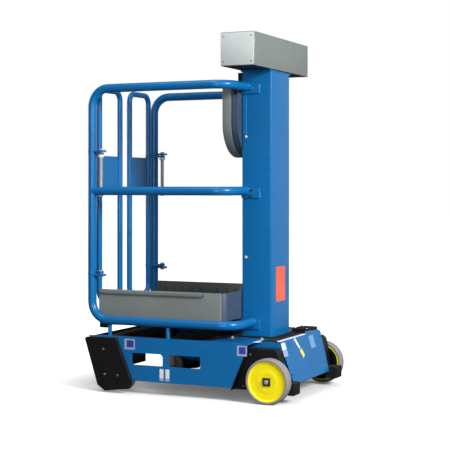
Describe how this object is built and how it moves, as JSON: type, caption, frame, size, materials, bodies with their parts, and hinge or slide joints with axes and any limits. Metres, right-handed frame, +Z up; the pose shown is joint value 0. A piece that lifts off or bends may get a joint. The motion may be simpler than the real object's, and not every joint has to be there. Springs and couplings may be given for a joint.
{
  "type": "vertical mast lift",
  "caption": "Push-around personnel lift: a guarded platform with saloon gates on a telescoping mast, wound up by hand, on a wheeled chassis with fork slots.",
  "frame": {"origin": "on the floor, under the middle of the machine's outline", "axes": "+X towards the mast end, +Y to the left of someone facing the mast, +Z up"},
  "size_m": [0.985, 0.7, 1.55],
  "materials": {
    "blue_paint": "gloss powder coat",
    "grey_moulding": "moulded plastic, light grain",
    "silver_sheet": "silver-grey coated sheet",
    "black_plastic": "moulded plastic",
    "black_rubber": "moulded rubber",
    "yellow_paint": "gloss",
    "grey_tyre": "smooth non-marking rubber",
    "zinc_steel": "zinc plated",
    "mast_section": "extruded, drawn finish",
    "black_paint": "satin powder coat",
    "slate_moulding": "moulded plastic, light grain",
    "nylon": "machined",
    "deck_surface": "ribbed, non-slip",
    "grip": "satin"
  },
  "bodies": {
    "chassis": {"cross_tubes": "black_paint", "mast_frame": "blue_paint", "top_deck": "blue_paint", "end_panel": "blue_paint", "entry_panel": "black_paint", "equipment_cover": "black_plastic", "platform_stubs": "blue_paint", "base_mast": "mast_section", "base_mast_pads": "nylon", "side_plate_right": "blue_paint", "wheel_guard_right": "black_plastic", "rubber_block_right": "black_rubber", "bumper_right": "black_plastic", "axle_stub_right": "zinc_steel", "castor_mount_right": "black_paint", "side_plate_left": "blue_paint", "wheel_guard_left": "black_plastic", "rubber_block_left": "black_rubber", "bumper_left": "black_plastic", "axle_stub_left": "zinc_steel", "castor_mount_left": "black_paint"},
    "middle_stage": {"middle_mast": "mast_section", "middle_mast_pads": "nylon"},
    "platform": {"column": "blue_paint", "kickboard": "grey_moulding", "deck": "deck_surface", "underframe": "black_paint", "landing_buffers": "black_rubber", "winding_housing": "grey_moulding", "housing_back": "slate_moulding", "tray_bracket": "blue_paint", "tool_tray": "silver_sheet", "guard_rail_right": "blue_paint", "middle_rail_right": "blue_paint", "hinge_brackets_right": "blue_paint", "hinge_pins_right": "zinc_steel", "hinge_spring_right": "zinc_steel", "guard_rail_left": "blue_paint", "middle_rail_left": "blue_paint", "hinge_brackets_left": "blue_paint", "hinge_pins_left": "zinc_steel", "hinge_spring_left": "zinc_steel"},
    "crank": {"winding_crank": "zinc_steel", "crank_grip": "grip"},
    "wheel_right": {"wheel_tyre_right": "grey_tyre", "wheel_hub_right": "yellow_paint"},
    "castor_swivel_right": {"castor_fork_right": "zinc_steel"},
    "castor_wheel_right": {"castor_tyre_right": "grey_tyre", "castor_hub_right": "grey_moulding"},
    "gate_right": {"gate_frame_right": "blue_paint", "gate_plate_right": "blue_paint"},
    "wheel_left": {"wheel_tyre_left": "grey_tyre", "wheel_hub_left": "yellow_paint"},
    "castor_swivel_left": {"castor_fork_left": "zinc_steel"},
    "castor_wheel_left": {"castor_tyre_left": "grey_tyre", "castor_hub_left": "grey_moulding"},
    "gate_left": {"gate_frame_left": "blue_paint", "gate_plate_left": "blue_paint"}
  },
  "joints": [
    {"name": "mast_stage_1", "type": "slide", "parent": "chassis", "child": "middle_stage", "axis": [0, 0, 1], "range_m": [0, 0.585]},
    {"name": "mast_stage_2", "type": "slide", "parent": "middle_stage", "child": "platform", "axis": [0, 0, 1], "range_m": [0, 0.585]},
    {"name": "crank_turn", "type": "hinge", "parent": "platform", "child": "crank", "pos_m": [0.085, 0, 1.177], "axis": [1, 0, 0], "continuous": true},
    {"name": "wheel_spin_right", "type": "hinge", "parent": "chassis", "child": "wheel_right", "pos_m": [0.39, -0.325, 0.095], "axis": [0, 1, 0], "continuous": true},
    {"name": "castor_swivel_right", "type": "hinge", "parent": "chassis", "child": "castor_swivel_right", "pos_m": [-0.375, -0.232, 0.112], "axis": [0, 0, 1], "continuous": true},
    {"name": "castor_spin_right", "type": "hinge", "parent": "castor_swivel_right", "child": "castor_wheel_right", "pos_m": [-0.34, -0.232, 0.05], "axis": [0, 1, 0], "continuous": true},
    {"name": "gate_hinge_right", "type": "hinge", "parent": "platform", "child": "gate_right", "pos_m": [-0.4295, -0.291, 1], "axis": [0, 0, -1], "range_deg": [0, 90], "stiffness_Nm_per_rad": 1.5},
    {"name": "wheel_spin_left", "type": "hinge", "parent": "chassis", "child": "wheel_left", "pos_m": [0.39, 0.325, 0.095], "axis": [0, 1, 0], "continuous": true},
    {"name": "castor_swivel_left", "type": "hinge", "parent": "chassis", "child": "castor_swivel_left", "pos_m": [-0.375, 0.232, 0.112], "axis": [0, 0, 1], "continuous": true},
    {"name": "castor_spin_left", "type": "hinge", "parent": "castor_swivel_left", "child": "castor_wheel_left", "pos_m": [-0.34, 0.232, 0.05], "axis": [0, 1, 0], "continuous": true},
    {"name": "gate_hinge_left", "type": "hinge", "parent": "platform", "child": "gate_left", "pos_m": [-0.4295, 0.291, 1], "axis": [0, 0, 1], "range_deg": [0, 90], "stiffness_Nm_per_rad": 1.5}
  ],
  "couplings": [
    {"joint": "mast_stage_2", "follows": "mast_stage_1", "ratio": 1}
  ]
}
